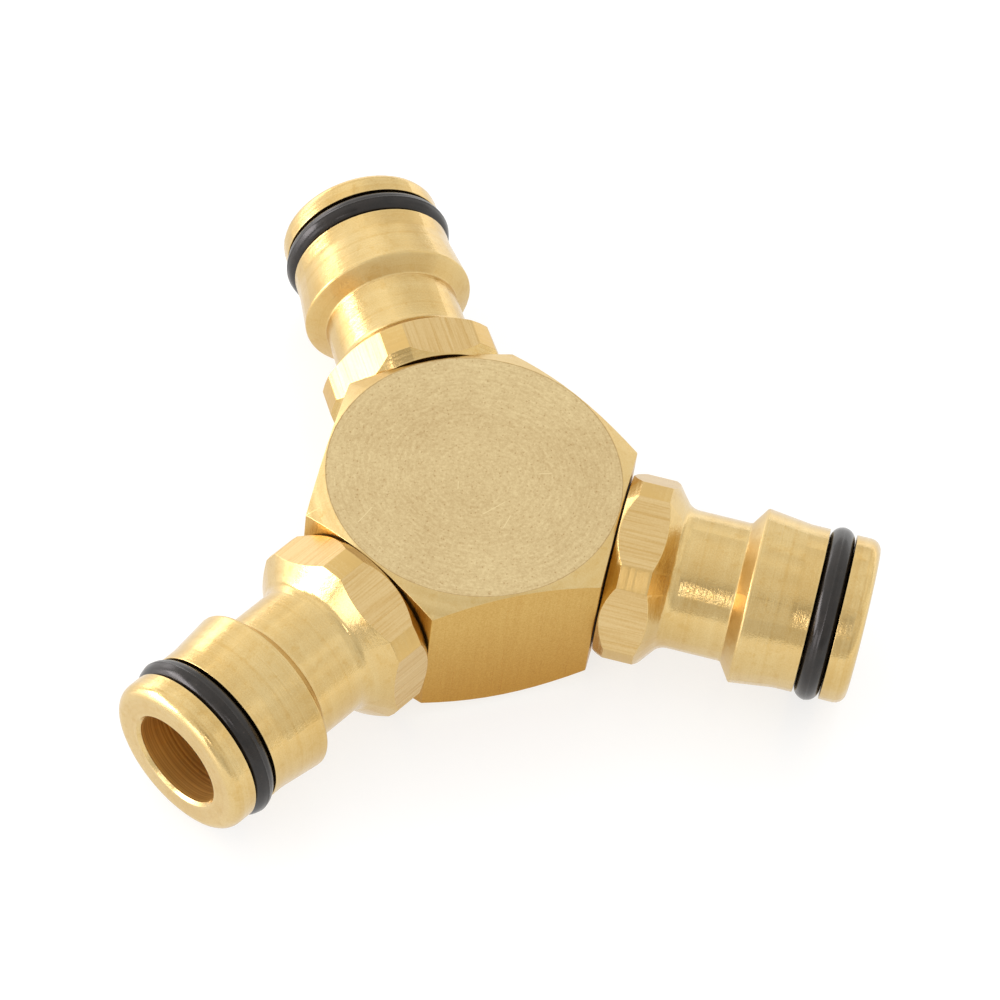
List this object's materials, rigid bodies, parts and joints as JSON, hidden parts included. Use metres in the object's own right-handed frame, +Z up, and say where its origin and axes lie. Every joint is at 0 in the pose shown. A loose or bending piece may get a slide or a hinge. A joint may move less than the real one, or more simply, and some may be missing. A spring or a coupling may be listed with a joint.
{
  "type": "push to connect fitting",
  "caption": "Brass push-to-connect splitter for a water hose: a flat hexagonal hub with screwed-in click plugs set evenly round it, each with a spanner flange, latch neck and O-ring nose.",
  "frame": {"origin": "the crossing of the three port axes at the middle of the hub", "axes": "+X out along plug a, +Z up through the hub's flat face; plugs b and c lie 120 and 240 degrees round from plug a"},
  "size_m": [0.0643, 0.0742, 0.0184],
  "materials": {
    "hub_brass": "faced and turned from drawn hexagon bar, light tool marks",
    "plug_brass": "turned from drawn hexagon bar, flats as drawn",
    "o_ring_rubber": "moulded nitrile rubber, satin, lightly greased",
    "washer_rubber": "punched nitrile sheet, matt"
  },
  "bodies": {
    "hub": {"hub_body": "hub_brass"},
    "washer_a": {"sealing_washer_a": "washer_rubber"},
    "plug_a": {"plug_a": "plug_brass", "o_ring_a": "o_ring_rubber"},
    "washer_b": {"sealing_washer_b": "washer_rubber"},
    "plug_b": {"plug_b": "plug_brass", "o_ring_b": "o_ring_rubber"},
    "washer_c": {"sealing_washer_c": "washer_rubber"},
    "plug_c": {"plug_c": "plug_brass", "o_ring_c": "o_ring_rubber"}
  },
  "joints": [
    {"name": "plug_a_travel", "type": "slide", "parent": "hub", "child": "washer_a", "axis": [1, 0, 0], "range_m": [0, 0.00535]},
    {"name": "plug_a_unscrew", "type": "hinge", "parent": "washer_a", "child": "plug_a", "pos_m": [0, 0, 0], "axis": [1, 0, 0], "range_deg": [0, 1441]},
    {"name": "plug_b_travel", "type": "slide", "parent": "hub", "child": "washer_b", "axis": [-0.5, 0.866, 0], "range_m": [0, 0.00535]},
    {"name": "plug_b_unscrew", "type": "hinge", "parent": "washer_b", "child": "plug_b", "pos_m": [0, 0, 0], "axis": [-0.5, 0.866, 0], "range_deg": [0, 1441]},
    {"name": "plug_c_travel", "type": "slide", "parent": "hub", "child": "washer_c", "axis": [-0.5, -0.866, 0], "range_m": [0, 0.00535]},
    {"name": "plug_c_unscrew", "type": "hinge", "parent": "washer_c", "child": "plug_c", "pos_m": [0, 0, 0], "axis": [-0.5, -0.866, 0], "range_deg": [0, 1441]}
  ],
  "couplings": [
    {"joint": "plug_a_unscrew", "follows": "plug_a_travel", "rad_per_m": 4699.5},
    {"joint": "plug_b_unscrew", "follows": "plug_b_travel", "rad_per_m": 4699.5},
    {"joint": "plug_c_unscrew", "follows": "plug_c_travel", "rad_per_m": 4699.5}
  ]
}
